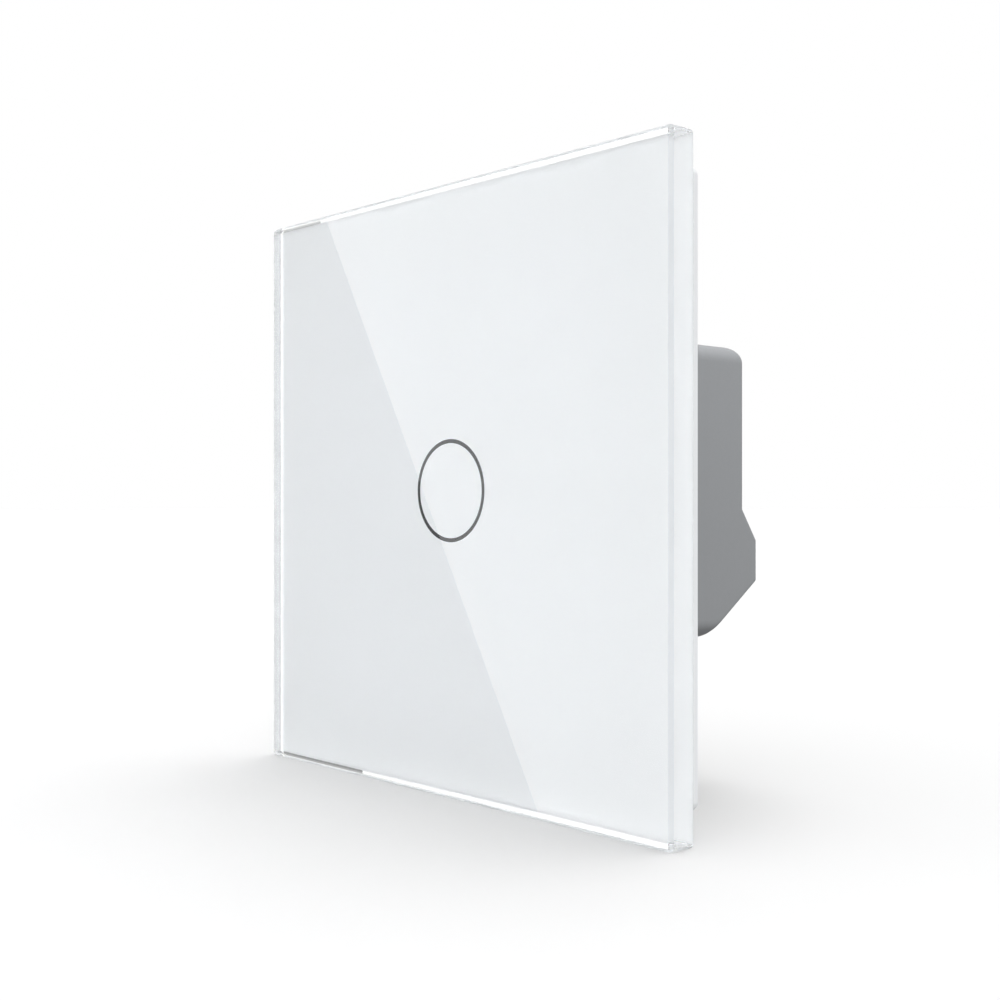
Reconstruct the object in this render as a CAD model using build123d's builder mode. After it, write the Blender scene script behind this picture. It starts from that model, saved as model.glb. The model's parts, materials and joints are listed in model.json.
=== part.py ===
"""Touch light switch for a round wall box, in millimetres.

The origin is the centre of the mounting plate's back, which lies on the wall. X runs to the right, Z runs up,
and Y runs into the wall, so a depth is negative in front of the wall and positive inside the box.
"""

from build123d import *

import os
from math import cos, radians, sin

os.makedirs("parts", exist_ok=True)

# Glass panel, its print and the frame behind it
glass_side = 80.0
glass_thickness = 4.0
glass_bevel = 0.47
print_thickness = 0.1
print_inset = 0.45
ring_diameter = 13.6
ring_line = 0.53
frame_depth = 4.0
frame_inset = 3.0
frame_wall = 1.6
frame_corner = 1.1
flange_thickness = 1.3
flange_width = 1.4
tape_thickness = 0.3
tape_width = 1.9
tape_edge = 0.5
snap_height = 0.25
snap_length = 6.0
snap_base = 0.6
snap_crest = 0.2
pry_width = 8.0
pry_depth = 1.4

# Steel mounting plate
plate_thickness = 1.0
plate_corner = 1.6
plate_gap = 0.3
slot_pitch = 60.0
slot_width = 3.8
slot_length = 8.0
lug_thickness = 0.8
lug_length = 12.0
lug_place = 18.0
lug_window_length = 8.0
lug_window_height = 0.8
window_to_screw_x = 3.9
window_to_screw_z = 2.9

# White cover over the touch board
cover_past_screw_x = 3.1
cover_past_screw_z = 8.1
cover_corner = 3.0
cover_wall = 1.0
cover_rim = 1.2
cover_to_print = 0.3

# Screws that hold the cover, the plate and the housing together
screw_shank = 2.5
screw_head = 4.4
screw_head_height = 1.5
screw_tip_gap = 0.7
screw_to_wall_x = 2.6
screw_to_wall_z = 1.6
screw_slot = 0.6
cover_boss = 5.4
housing_boss = 4.8
housing_boss_length = 10.0

# Grey housing in the wall box
housing_width = 50.6
housing_height = 38.0
housing_corner = 2.2
housing_wall = 1.5
rear_depth = 23.3
hump_depth = 26.2
hump_tilt = 35.0
screw_face_rise = 28.6
wire_face_run = 9.34
edge_round = 0.5
rib_width = 2.0
rib_height = 1.2
rib_place = 8.0
label_width = 30.0
label_height = 11.0
label_recess = 0.3

# Terminals, measured along the tilted screw and wire directions
terminal_pitch = 14.0
wire_bore = 3.8
driver_hole = 3.4
terminal_head = 3.8
terminal_head_height = 1.5
terminal_shank = 2.9
terminal_slot = 0.8
shoulder = 1.0
clamp_width = 7.0
clamp_length = 5.0
clamp_to_face = 7.3
clamp_wall = 0.9
clamp_thread_wall = 1.4
clamp_travel = 2.5
bar_width = 4.0
bar_thickness = 1.0
wire_gap = 3.4
block_wall = 1.0
bend_to_clamp = 4.8

# Boards
board_thickness = 1.6
board_depth = 5.6
sensor_thickness = 1.0
header_pitch = 2.54
header_pins_count = 5
header_width = 2.5
header_height = 2.5
header_to_window = 4.0
pin_side = 0.64
pin_reach = 2.3
socket_height = 2.9

# Touch key
pad_diameter = 9.0
electrode_diameter = 10.0
electrode_thickness = 0.1
light_ring_outer = 16.0
light_ring_inner = 10.8
light_ring_height = 1.1
led_length = 1.6
led_width = 0.8
led_height = 0.5
led_count = 3
chip_length = 5.0
chip_width = 4.0
chip_height = 1.4
chip_to_window = 5.0
passive_length = 1.6
passive_width = 0.8
passive_height = 0.5
passive_count = 3
passive_pitch = 3.0
passive_to_window = 1.2

# Relay
relay_length = 18.4
relay_width = 10.2
relay_height = 15.3
relay_wall = 0.7
relay_base_height = 2.0
relay_inner_gap = 0.9
yoke_thickness = 1.0
yoke_width = 6.0
coil_diameter = 7.6
coil_length = 8.0
coil_clear = 0.4
spool_flange = 0.6
spool_wall = 0.4
core_diameter = 3.0
pole_diameter = 5.0
pole_height = 0.5
armature_thickness = 1.0
armature_length = 9.6
armature_width = 6.4
armature_angle = 4.5
armature_travel = 4.0
blade_thickness = 0.2
blade_length = 15.4
blade_width = 4.0
blade_start = 2.0
contact_diameter = 2.4
contact_height = 0.7
contact_place = 14.0
contact_gap = 0.12
fixed_contact_height = 0.6
contact_strip = 0.4
relay_pin = 0.8
relay_pin_length = 2.0

# Other parts on the power board
part_margin = 1.9
part_gap = 1.0
capacitor_diameter = 8.0
capacitor_height = 12.0
capacitor_round = 0.6
film_width = 6.0
film_length = 9.6
film_height = 11.0
varistor_diameter = 9.0
varistor_thickness = 4.0
varistor_foot = 0.5
fuse_width = 4.2
fuse_length = 8.4
fuse_height = 7.7
fuse_place = -2.0
choke_diameter = 7.6
choke_height = 9.0
choke_neck = 3.6
choke_flange = 1.2
rectifier_length = 4.8
rectifier_width = 3.9
rectifier_height = 2.5
transistor_length = 6.5
transistor_width = 6.1
transistor_height = 2.3
transistor_to_wall = 5.25
transistor_z = -9.5
regulator_length = 4.5
regulator_width = 2.5
regulator_height = 1.5
regulator_z = -11.0

# Clearances
close_gap = 0.1
fit_gap = 0.05
seat_gap = 0.3
overrun = 5.0

# Places worked out from the sizes above
print_back = -frame_depth
glass_back = print_back - print_thickness
print_side = glass_side - 2 * print_inset
frame_side = glass_side - 2 * frame_inset
frame_inner = frame_side - 2 * frame_wall
flange_back = print_back + flange_thickness
flange_inner = frame_inner - 2 * flange_width
plate_side = frame_inner - 2 * plate_gap
plate_front = -plate_thickness
lug_height = plate_front - flange_back - 2 * close_gap
cover_front = print_back + cover_to_print
cover_inside = cover_front + cover_wall
cover_depth = plate_front - cover_front
sensor_front = cover_inside + close_gap
sensor_back = sensor_front + sensor_thickness
board_front = board_depth - board_thickness
half_height = housing_height / 2
inner_width = housing_width - 2 * housing_wall
inner_height = housing_height - 2 * housing_wall
screw_place_x = inner_width / 2 - screw_to_wall_x
screw_place_z = inner_height / 2 - screw_to_wall_z
plate_window_width = 2 * (screw_place_x - window_to_screw_x)
plate_window_height = 2 * (screw_place_z - window_to_screw_z)
cover_width = 2 * (screw_place_x + cover_past_screw_x)
cover_height = 2 * (screw_place_z + cover_past_screw_z)
sensor_width = 2 * (screw_place_x - cover_boss / 2 - 2 * close_gap)
sensor_height = cover_height - 2 * (cover_rim + seat_gap)
header_place = plate_window_height / 2 - header_to_window
chip_place = chip_to_window - plate_window_height / 2
passive_place = passive_to_window - plate_window_height / 2
screw_places = [(x, z) for x in (-screw_place_x, screw_place_x) for z in (-screw_place_z, screw_place_z)]
terminal_places = {"line": -terminal_pitch / 2, "load": terminal_pitch / 2}
tilt_cos, tilt_sin = cos(radians(hump_tilt)), sin(radians(hump_tilt))

# The hump's two faces lie at these distances from the origin and move with the housing's lower front corner
screw_face = screw_face_rise - half_height * tilt_sin
wire_face = wire_face_run + half_height * tilt_cos

# Levels in the tilted hump along the screw, from the head inwards, then along the wire
clamp_place = wire_face - clamp_to_face
bar_bend = clamp_place - bend_to_clamp
head_top = screw_face - housing_wall - close_gap
head_seat = head_top - terminal_head_height
chamber_top = head_seat - shoulder
clamp_top = chamber_top - close_gap - clamp_travel
bar_top = clamp_top - clamp_thread_wall - close_gap
bar_bottom = bar_top - bar_thickness
clamp_floor = bar_bottom - wire_gap
clamp_bottom = clamp_floor - clamp_wall
chamber_bottom = clamp_bottom - close_gap
block_bottom = chamber_bottom - block_wall
wire_place = (bar_bottom + clamp_floor) / 2
block_inner_end = clamp_place - clamp_length / 2 - close_gap - block_wall
block_outer_end = wire_face - housing_wall - close_gap
bar_end = clamp_place + clamp_length / 2 - close_gap


def at_depth(depth):
    """The plane square to the wall at a depth; what is extruded from it grows to the front."""
    return Plane.XZ.offset(-depth)


def screw_plane(x, along_screw, along_wire):
    """A plane in the tilted hump, with its Y running out along the wire and its Z along the screw."""
    y = along_screw * tilt_cos + along_wire * tilt_sin
    z = along_screw * tilt_sin - along_wire * tilt_cos
    return Plane((x, y, z), x_dir=(1, 0, 0), z_dir=(0, tilt_cos, tilt_sin))


def wire_plane(x, along_screw, along_wire):
    """As screw_plane, but its Z runs out along the wire."""
    place = screw_plane(x, along_screw, along_wire).origin
    return Plane(place, x_dir=(1, 0, 0), z_dir=(0, tilt_sin, -tilt_cos))


def save(part, name):
    """Names a finished piece and writes it to its own file."""
    part.label = name
    export_step(part, f"parts/{name}.step")


# The glass plate, bevelled round its front and at its four corners
with BuildPart() as glass_panel:
    with BuildSketch(at_depth(glass_back)):
        Rectangle(glass_side, glass_side)
    extrude(amount=glass_thickness)
    corner_edges = glass_panel.edges().filter_by(Axis.Y)
    chamfer(corner_edges + glass_panel.faces().sort_by(Axis.Y)[0].edges(), glass_bevel)
save(glass_panel.part, "glass_panel")

# The white layer on the glass's back, with the ring left open in it
with BuildPart() as white_print:
    with BuildSketch(at_depth(print_back)):
        Rectangle(print_side, print_side)
        Circle(ring_diameter / 2, mode=Mode.SUBTRACT)
        Circle(ring_diameter / 2 - ring_line)
    extrude(amount=print_thickness)
save(white_print.part, "white_print")

# The dark see-through ink in that ring
with BuildPart() as ring_mark:
    with BuildSketch(at_depth(print_back)):
        Circle(ring_diameter / 2)
        Circle(ring_diameter / 2 - ring_line, mode=Mode.SUBTRACT)
    extrude(amount=print_thickness)
save(ring_mark.part, "ring_mark")

# The adhesive between the print and the frame's flange
tape_outer = frame_side - 2 * tape_edge
with BuildPart() as panel_tape:
    with BuildSketch(at_depth(print_back + tape_thickness)):
        RectangleRounded(tape_outer, tape_outer, frame_corner / 2)
        tape_inner = tape_outer - 2 * tape_width
        RectangleRounded(tape_inner, tape_inner, frame_corner / 2, mode=Mode.SUBTRACT)
    extrude(amount=tape_thickness)
save(panel_tape.part, "panel_tape")

# The frame, open at the back, with four snap ridges inside and a pry notch below
with BuildPart() as panel_frame:
    with BuildSketch(at_depth(0)):
        RectangleRounded(frame_side, frame_side, frame_corner)
        RectangleRounded(frame_inner, frame_inner, frame_corner / 2, mode=Mode.SUBTRACT)
    extrude(amount=frame_depth)
    with BuildSketch(at_depth(flange_back)):
        RectangleRounded(frame_side, frame_side, frame_corner)
        RectangleRounded(flange_inner, flange_inner, frame_corner, mode=Mode.SUBTRACT)
    extrude(amount=flange_thickness)
    add(panel_tape.part, mode=Mode.SUBTRACT)
    snap_depth = plate_front - lug_height / 2
    for side in (-1, 1):
        for z in (-lug_place, lug_place):
            wall_x = side * frame_inner / 2
            crest_x = wall_x - side * snap_height
            with BuildSketch(Plane.XY.offset(z - snap_length / 2)):
                with BuildLine():
                    Polyline(
                        (wall_x, snap_depth - snap_base / 2),
                        (crest_x, snap_depth - snap_crest / 2),
                        (crest_x, snap_depth + snap_crest / 2),
                        (wall_x, snap_depth + snap_base / 2),
                        close=True,
                    )
                make_face()
            extrude(amount=snap_length)
    with BuildSketch(Plane.XY.offset(-frame_side / 2)):
        with Locations((0, -pry_depth / 2)):
            Rectangle(pry_width, pry_depth)
    extrude(amount=frame_wall, mode=Mode.SUBTRACT)
save(panel_frame.part, "panel_frame")

# The steel plate that is screwed to the wall box, with four turned-up lugs for the panel's ridges
with BuildPart() as mounting_plate:
    with BuildSketch(at_depth(0)):
        RectangleRounded(plate_side, plate_side, plate_corner)
        RectangleRounded(plate_window_width, plate_window_height, plate_corner, mode=Mode.SUBTRACT)
        with Locations((-slot_pitch / 2, 0), (slot_pitch / 2, 0)):
            SlotOverall(slot_length, slot_width, mode=Mode.SUBTRACT)
        with Locations((0, -slot_pitch / 2), (0, slot_pitch / 2)):
            SlotOverall(slot_length, slot_width, rotation=90, mode=Mode.SUBTRACT)
        with Locations(screw_places):
            Circle(screw_shank / 2 + close_gap, mode=Mode.SUBTRACT)
    extrude(amount=plate_thickness)
    with BuildSketch(at_depth(plate_front)):
        for side in (-1, 1):
            lug_x = side * (plate_side - lug_thickness) / 2
            with Locations((lug_x, -lug_place), (lug_x, lug_place)):
                Rectangle(lug_thickness, lug_length)
    extrude(amount=lug_height)
    with BuildSketch(at_depth(snap_depth + lug_window_height / 2)):
        for side in (-1, 1):
            lug_x = side * (plate_side - lug_thickness) / 2
            with Locations((lug_x, -lug_place), (lug_x, lug_place)):
                Rectangle(lug_thickness, lug_window_length)
    extrude(amount=lug_window_height, mode=Mode.SUBTRACT)
save(mounting_plate.part, "mounting_plate")

# The white cover between the plate and the glass
with BuildPart() as front_cover:
    with BuildSketch(at_depth(plate_front)):
        RectangleRounded(cover_width, cover_height, cover_corner)
    extrude(amount=cover_depth)
    with BuildSketch(at_depth(plate_front)):
        RectangleRounded(cover_width - 2 * cover_rim, cover_height - 2 * cover_rim, cover_corner - cover_rim)
    extrude(amount=cover_depth - cover_wall, mode=Mode.SUBTRACT)
    with BuildSketch(at_depth(plate_front)):
        with Locations(screw_places):
            Circle(cover_boss / 2)
    extrude(amount=cover_depth)
    with BuildSketch(at_depth(plate_front)):
        with Locations(screw_places):
            Circle(screw_shank / 2 + close_gap)
        Circle(light_ring_outer / 2 + close_gap)
    extrude(amount=cover_depth, mode=Mode.SUBTRACT)
    with BuildSketch(at_depth(cover_front + screw_head_height)):
        with Locations(screw_places):
            Circle(screw_head / 2 + close_gap)
    extrude(amount=screw_head_height, mode=Mode.SUBTRACT)
save(front_cover.part, "front_cover")

# Four screws through the cover and the plate into the housing's bosses
with BuildPart() as cover_screws:
    head_back = cover_front + screw_head_height
    screw_length = housing_boss_length - housing_wall - screw_tip_gap - head_back
    with BuildSketch(at_depth(head_back + screw_length)):
        with Locations(screw_places):
            Circle(screw_shank / 2)
    extrude(amount=screw_length)
    with BuildSketch(at_depth(head_back)):
        with Locations(screw_places):
            Circle(screw_head / 2)
    extrude(amount=screw_head_height)
    with BuildSketch(at_depth(cover_front + screw_head_height / 2)):
        with Locations(screw_places):
            Rectangle(screw_head, screw_slot)
            Rectangle(screw_slot, screw_head)
    extrude(amount=screw_head_height / 2, mode=Mode.SUBTRACT)
save(cover_screws.part, "cover_screws")


# The housing: a box with the outline of its side, which gives the hump its two slanted faces
def housing_form(wall):
    """The housing's outer form, or the form of its hollow when a wall is given."""
    width, top = housing_width - 2 * wall, half_height - wall
    rear, deepest = rear_depth - wall, hump_depth - wall
    screw_side, wire_side = screw_face - wall, wire_face - wall
    with BuildPart() as form:
        with BuildSketch(Plane.YZ.offset(-width / 2)):
            with BuildLine():
                Polyline(
                    (0, -top),
                    ((wire_side - top * tilt_cos) / tilt_sin, -top),
                    (deepest, (deepest * tilt_sin - wire_side) / tilt_cos),
                    (deepest, (screw_side - deepest * tilt_cos) / tilt_sin),
                    (rear, (screw_side - rear * tilt_cos) / tilt_sin),
                    (rear, top),
                    (0, top),
                    close=True,
                )
            make_face()
        extrude(amount=width)
        upper, lower = form.faces().sort_by(Axis.Z)[-1], form.faces().sort_by(Axis.Z)[0]
        level_edges = upper.edges().filter_by(Axis.Y) + lower.edges().filter_by(Axis.Y)
        fillet(level_edges + upper.edges().sort_by(Axis.Y)[-1:], housing_corner - wall)
    return form.part


with BuildPart() as rear_housing:
    add(housing_form(0))
    side_edges = rear_housing.faces().filter_by(Axis.X).edges().filter_by(Axis.Y, reverse=True)
    hump_edges = rear_housing.faces().filter_by(Axis.Y).sort_by(Axis.Y)[-1].edges().filter_by(Axis.X)
    fillet(side_edges.sort_by(Axis.Y)[2:] + hump_edges, edge_round)
    add(housing_form(housing_wall), mode=Mode.SUBTRACT)
    with BuildSketch(at_depth(housing_boss_length)):
        with Locations(screw_places):
            Circle(housing_boss / 2)
    extrude(amount=housing_boss_length)
    with BuildSketch(at_depth(rear_depth - housing_wall)):
        for side in (-1, 1):
            rib_x = side * (inner_width - rib_height) / 2
            with Locations((rib_x, -rib_place), (rib_x, rib_place)):
                Rectangle(rib_height, rib_width)
    extrude(amount=rear_depth - housing_wall - board_depth)
    with BuildSketch(at_depth(housing_boss_length - housing_wall)):
        with Locations(screw_places):
            Circle(screw_shank / 2 + fit_gap)
    extrude(amount=housing_boss_length - housing_wall, mode=Mode.SUBTRACT)
    with BuildSketch(at_depth(rear_depth)):
        with Locations((0, half_height / 2)):
            RectangleRounded(label_width, label_height, edge_round)
    extrude(amount=label_recess, mode=Mode.SUBTRACT)
    for x in terminal_places.values():
        with BuildSketch(screw_plane(x, screw_face - housing_wall, clamp_place)):
            Circle(driver_hole / 2)
        extrude(amount=housing_wall + overrun, mode=Mode.SUBTRACT)
        with BuildSketch(wire_plane(x, wire_place, wire_face - housing_wall)):
            Circle(wire_bore / 2)
        extrude(amount=housing_wall + overrun, mode=Mode.SUBTRACT)
save(rear_housing.part, "rear_housing")

# The terminal block that fills the hump, with a chamber, a screw well and a wire hole for each terminal
with BuildPart() as terminal_block:
    with BuildSketch(screw_plane(0, block_bottom, (block_inner_end + block_outer_end) / 2)):
        block_width = terminal_pitch + clamp_width + 2 * (close_gap + block_wall)
        Rectangle(block_width, block_outer_end - block_inner_end)
    extrude(amount=head_top - block_bottom)
    split(bisect_by=at_depth(hump_depth - housing_wall - close_gap), keep=Keep.TOP)
    for x in terminal_places.values():
        with BuildSketch(screw_plane(x, chamber_bottom, clamp_place)):
            Rectangle(clamp_width + 2 * close_gap, clamp_length + 2 * close_gap)
        extrude(amount=chamber_top - chamber_bottom, mode=Mode.SUBTRACT)
        with BuildSketch(screw_plane(x, chamber_top, clamp_place)):
            Circle(terminal_shank / 2 + close_gap)
        extrude(amount=shoulder, mode=Mode.SUBTRACT)
        with BuildSketch(screw_plane(x, head_seat, clamp_place)):
            Circle(terminal_head / 2 + close_gap)
        extrude(amount=overrun, mode=Mode.SUBTRACT)
        with BuildSketch(wire_plane(x, wire_place, clamp_place)):
            Circle(wire_bore / 2)
        extrude(amount=overrun + clamp_length, mode=Mode.SUBTRACT)
        with BuildSketch(screw_plane(x, bar_bottom - close_gap, block_inner_end)):
            Rectangle(bar_width + 2 * close_gap, clamp_length)
        extrude(amount=bar_thickness + 2 * close_gap, mode=Mode.SUBTRACT)
save(terminal_block.part, "terminal_block")

# Each terminal: the bar that the wire is pressed against, the clamp that rises, and the screw that lifts it
bar_leg_z = bar_bottom * tilt_sin - bar_bend * tilt_cos + bar_thickness / 2
bar_leg_depth = bar_top * tilt_cos + bar_bend * tilt_sin
for name, x in terminal_places.items():
    with BuildPart() as terminal_bar:
        with BuildSketch(screw_plane(x, bar_bottom, (bar_bend + bar_end) / 2)):
            Rectangle(bar_width, bar_end - bar_bend)
        extrude(amount=bar_thickness)
        with BuildSketch(at_depth(bar_leg_depth)):
            with Locations((x, bar_leg_z)):
                Rectangle(bar_width, bar_thickness)
        extrude(amount=bar_leg_depth - board_front)
    save(terminal_bar.part, f"{name}_bar")
    with BuildPart() as terminal_clamp:
        with BuildSketch(screw_plane(x, clamp_bottom, clamp_place)):
            Rectangle(clamp_width, clamp_length)
        extrude(amount=clamp_top - clamp_bottom)
        with BuildSketch(screw_plane(x, clamp_floor, clamp_place)):
            Rectangle(clamp_width - 2 * clamp_wall, clamp_length)
        extrude(amount=clamp_top - clamp_thread_wall - clamp_floor, mode=Mode.SUBTRACT)
        with BuildSketch(screw_plane(x, clamp_floor, clamp_place)):
            Circle(terminal_shank / 2 + fit_gap)
        extrude(amount=clamp_top - clamp_floor, mode=Mode.SUBTRACT)
    save(terminal_clamp.part, f"{name}_clamp")
    with BuildPart() as terminal_screw:
        with BuildSketch(screw_plane(x, bar_top + close_gap, clamp_place)):
            Circle(terminal_shank / 2)
        extrude(amount=head_seat - bar_top - close_gap)
        with BuildSketch(screw_plane(x, head_seat, clamp_place)):
            Circle(terminal_head / 2)
        extrude(amount=terminal_head_height)
        with BuildSketch(screw_plane(x, head_top - terminal_head_height / 2, clamp_place)):
            Rectangle(terminal_head, terminal_slot)
        extrude(amount=terminal_head_height, mode=Mode.SUBTRACT)
    save(terminal_screw.part, f"{name}_screw")

# The touch board behind the cover's front wall, and what it carries
header_x = [(n - (header_pins_count - 1) / 2) * header_pitch for n in range(header_pins_count)]
header_places = [(x, header_place) for x in header_x]
header_length = header_pins_count * header_pitch
header_back = sensor_back + header_height
with BuildPart() as sensor_board:
    with BuildSketch(at_depth(sensor_back)):
        Rectangle(sensor_width, sensor_height)
        with Locations(header_places):
            Rectangle(pin_side, pin_side, mode=Mode.SUBTRACT)
    extrude(amount=sensor_thickness)
save(sensor_board.part, "sensor_board")

with BuildPart() as touch_electrode:
    with BuildSketch(at_depth(sensor_front)):
        Circle(electrode_diameter / 2)
    extrude(amount=electrode_thickness)
save(touch_electrode.part, "touch_electrode")

with BuildPart() as touch_pad:
    pad_back = sensor_front - electrode_thickness
    with BuildSketch(at_depth(pad_back)):
        Circle(pad_diameter / 2)
    extrude(amount=pad_back - print_back - close_gap)
save(touch_pad.part, "touch_pad")

# The clear ring that spreads the light of the indicator, with a pocket over each lamp
led_circle = (light_ring_outer + light_ring_inner) / 4
with BuildPart() as light_ring:
    with BuildSketch(at_depth(sensor_front - fit_gap)):
        Circle(light_ring_outer / 2)
        Circle(light_ring_inner / 2, mode=Mode.SUBTRACT)
    extrude(amount=light_ring_height)
    with BuildSketch(at_depth(sensor_front)):
        with PolarLocations(led_circle, led_count, start_angle=90):
            Rectangle(led_width + 2 * close_gap, led_length + 2 * close_gap)
    extrude(amount=led_height + close_gap, mode=Mode.SUBTRACT)
save(light_ring.part, "light_ring")

with BuildPart() as indicator_leds:
    with BuildSketch(at_depth(sensor_front)):
        with PolarLocations(led_circle, led_count, start_angle=90):
            Rectangle(led_width, led_length)
    extrude(amount=led_height)
save(indicator_leds.part, "indicator_leds")

with BuildPart() as touch_chip:
    with BuildSketch(at_depth(sensor_back + chip_height)):
        with Locations((0, chip_place)):
            Rectangle(chip_length, chip_width)
    extrude(amount=chip_height)
save(touch_chip.part, "touch_chip")

with BuildPart() as sensor_passives:
    with BuildSketch(at_depth(sensor_back + passive_height)):
        with Locations((0, passive_place)):
            with GridLocations(passive_pitch, passive_pitch, passive_count, 1):
                Rectangle(passive_length, passive_width)
    extrude(amount=passive_height)
save(sensor_passives.part, "sensor_passives")

# The plug connection between the two boards
with BuildPart() as header_body:
    with BuildSketch(at_depth(header_back)):
        with Locations((0, header_place)):
            Rectangle(header_length, header_width)
        with Locations(header_places):
            Rectangle(pin_side, pin_side, mode=Mode.SUBTRACT)
    extrude(amount=header_height)
save(header_body.part, "header_body")

with BuildPart() as header_pins:
    with BuildSketch(at_depth(header_back + pin_reach)):
        with Locations(header_places):
            Rectangle(pin_side, pin_side)
    extrude(amount=header_back + pin_reach - sensor_front)
save(header_pins.part, "header_pins")

with BuildPart() as board_socket:
    with BuildSketch(at_depth(board_front)):
        with Locations((0, header_place)):
            Rectangle(header_length, header_width)
    extrude(amount=socket_height)
    with BuildSketch(at_depth(header_back + pin_reach + close_gap)):
        with Locations(header_places):
            Rectangle(pin_side + 2 * close_gap, pin_side + 2 * close_gap)
    extrude(amount=pin_reach + close_gap, mode=Mode.SUBTRACT)
save(board_socket.part, "board_socket")

# Places on the power board
relay_x = housing_boss / 2 + seat_gap - screw_place_x + relay_length / 2
relay_z = inner_height / 2 - part_margin - relay_width / 2
relay_pin_x = relay_length / 2 - relay_wall - relay_pin
relay_pin_z = relay_width / 2 - relay_wall - relay_pin
relay_pin_places = [(relay_x + i * relay_pin_x, relay_z + j * relay_pin_z) for i in (-1, 1) for j in (-1, 1)]
board_width = inner_width - 2 * seat_gap
board_height = inner_height - 2 * seat_gap
notch_width = 2 * (board_width / 2 - screw_place_x + housing_boss / 2 + seat_gap)
notch_height = 2 * (board_height / 2 - screw_place_z + housing_boss / 2 + seat_gap)

# The power board, notched round the housing's bosses
with BuildPart() as power_board:
    with BuildSketch(at_depth(board_depth)):
        Rectangle(board_width, board_height)
        with GridLocations(board_width, board_height, 2, 2):
            Rectangle(notch_width, notch_height, mode=Mode.SUBTRACT)
        with Locations([(x, bar_leg_z) for x in terminal_places.values()]):
            Rectangle(bar_width + 2 * close_gap, bar_thickness + 2 * close_gap, mode=Mode.SUBTRACT)
        with Locations(relay_pin_places):
            Circle(relay_pin / 2 + close_gap, mode=Mode.SUBTRACT)
    extrude(amount=board_thickness)
save(power_board.part, "power_board")

# The relay's base, its case open below, and its solder pins
with BuildPart() as relay_base:
    with BuildSketch(at_depth(board_depth + relay_base_height)):
        with Locations((relay_x, relay_z)):
            inset = 2 * (relay_wall + fit_gap)
            Rectangle(relay_length - inset, relay_width - inset)
    extrude(amount=relay_base_height)
save(relay_base.part, "relay_base")

with BuildPart() as relay_case:
    with BuildSketch(at_depth(board_depth + relay_height)):
        with Locations((relay_x, relay_z)):
            Rectangle(relay_length, relay_width)
    extrude(amount=relay_height)
    fillet(relay_case.edges().filter_by(Axis.Y), relay_wall)
    with BuildSketch(at_depth(board_depth + relay_height - relay_wall)):
        with Locations((relay_x, relay_z)):
            Rectangle(relay_length - 2 * relay_wall, relay_width - 2 * relay_wall)
    extrude(amount=relay_height - relay_wall, mode=Mode.SUBTRACT)
save(relay_case.part, "relay_case")

with BuildPart() as relay_pins:
    with BuildSketch(at_depth(board_depth)):
        with Locations(relay_pin_places):
            Circle(relay_pin / 2)
    extrude(amount=relay_pin_length)
save(relay_pins.part, "relay_pins")

# The relay's magnet: an angled yoke, and a coil on a spool round the core
yoke_x = relay_x - relay_length / 2 + relay_wall + relay_inner_gap
yoke_foot = board_depth + relay_base_height
coil_x = yoke_x + yoke_thickness + coil_clear + coil_diameter / 2
spool_start = yoke_foot + yoke_thickness
spool_end = spool_start + coil_length
yoke_top = spool_end + pole_height
foot_length = coil_x + coil_diameter / 2 - yoke_x
with BuildPart() as relay_yoke:
    with BuildSketch(at_depth(spool_start)):
        with Locations((yoke_x + foot_length / 2, relay_z)):
            Rectangle(foot_length, yoke_width)
        with Locations((coil_x, relay_z)):
            Circle(core_diameter / 2, mode=Mode.SUBTRACT)
    extrude(amount=yoke_thickness)
    with BuildSketch(at_depth(yoke_top)):
        with Locations((yoke_x + yoke_thickness / 2, relay_z)):
            Rectangle(yoke_thickness, yoke_width)
    extrude(amount=yoke_top - yoke_foot)
save(relay_yoke.part, "relay_yoke")

with BuildPart() as relay_core:
    with BuildSketch(at_depth(spool_end)):
        with Locations((coil_x, relay_z)):
            Circle(core_diameter / 2)
    extrude(amount=spool_end - yoke_foot)
    with BuildSketch(at_depth(yoke_top)):
        with Locations((coil_x, relay_z)):
            Circle(pole_diameter / 2)
    extrude(amount=pole_height)
save(relay_core.part, "relay_core")

with BuildPart() as relay_spool:
    with BuildSketch(at_depth(spool_end)):
        with Locations((coil_x, relay_z)):
            Circle(coil_diameter / 2)
    extrude(amount=coil_length)
    with BuildSketch(at_depth(spool_end - spool_flange)):
        with Locations((coil_x, relay_z)):
            Circle(coil_diameter / 2)
            Circle(core_diameter / 2 + spool_wall, mode=Mode.SUBTRACT)
    extrude(amount=coil_length - 2 * spool_flange, mode=Mode.SUBTRACT)
    with BuildSketch(at_depth(spool_end)):
        with Locations((coil_x, relay_z)):
            Circle(core_diameter / 2)
    extrude(amount=coil_length, mode=Mode.SUBTRACT)
save(relay_spool.part, "relay_spool")

with BuildPart() as relay_coil:
    with BuildSketch(at_depth(spool_end - spool_flange)):
        with Locations((coil_x, relay_z)):
            Circle(coil_diameter / 2 - coil_clear)
            Circle(core_diameter / 2 + spool_wall, mode=Mode.SUBTRACT)
    extrude(amount=coil_length - 2 * spool_flange)
save(relay_coil.part, "relay_coil")


# The relay's armature rocks on the yoke's end and stands open at rest
def armature_plane(along, lift):
    """A plane on the open armature, a way along it from the rocking edge and a height over its underside."""
    rise, run = sin(radians(armature_angle)), cos(radians(armature_angle))
    x = yoke_x + along * run - lift * rise
    y = yoke_top + fit_gap + along * rise + lift * run
    return Plane((x, y, relay_z), x_dir=(run, rise, 0), z_dir=(-rise, run, 0))


with BuildPart() as relay_armature:
    with BuildSketch(armature_plane(armature_length / 2, 0)):
        Rectangle(armature_length, armature_width)
    extrude(amount=armature_thickness)
save(relay_armature.part, "relay_armature")

with BuildPart() as contact_blade:
    with BuildSketch(armature_plane((blade_start + blade_length) / 2, armature_thickness)):
        Rectangle(blade_length - blade_start, blade_width)
    extrude(amount=blade_thickness)
save(contact_blade.part, "contact_blade")

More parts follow.
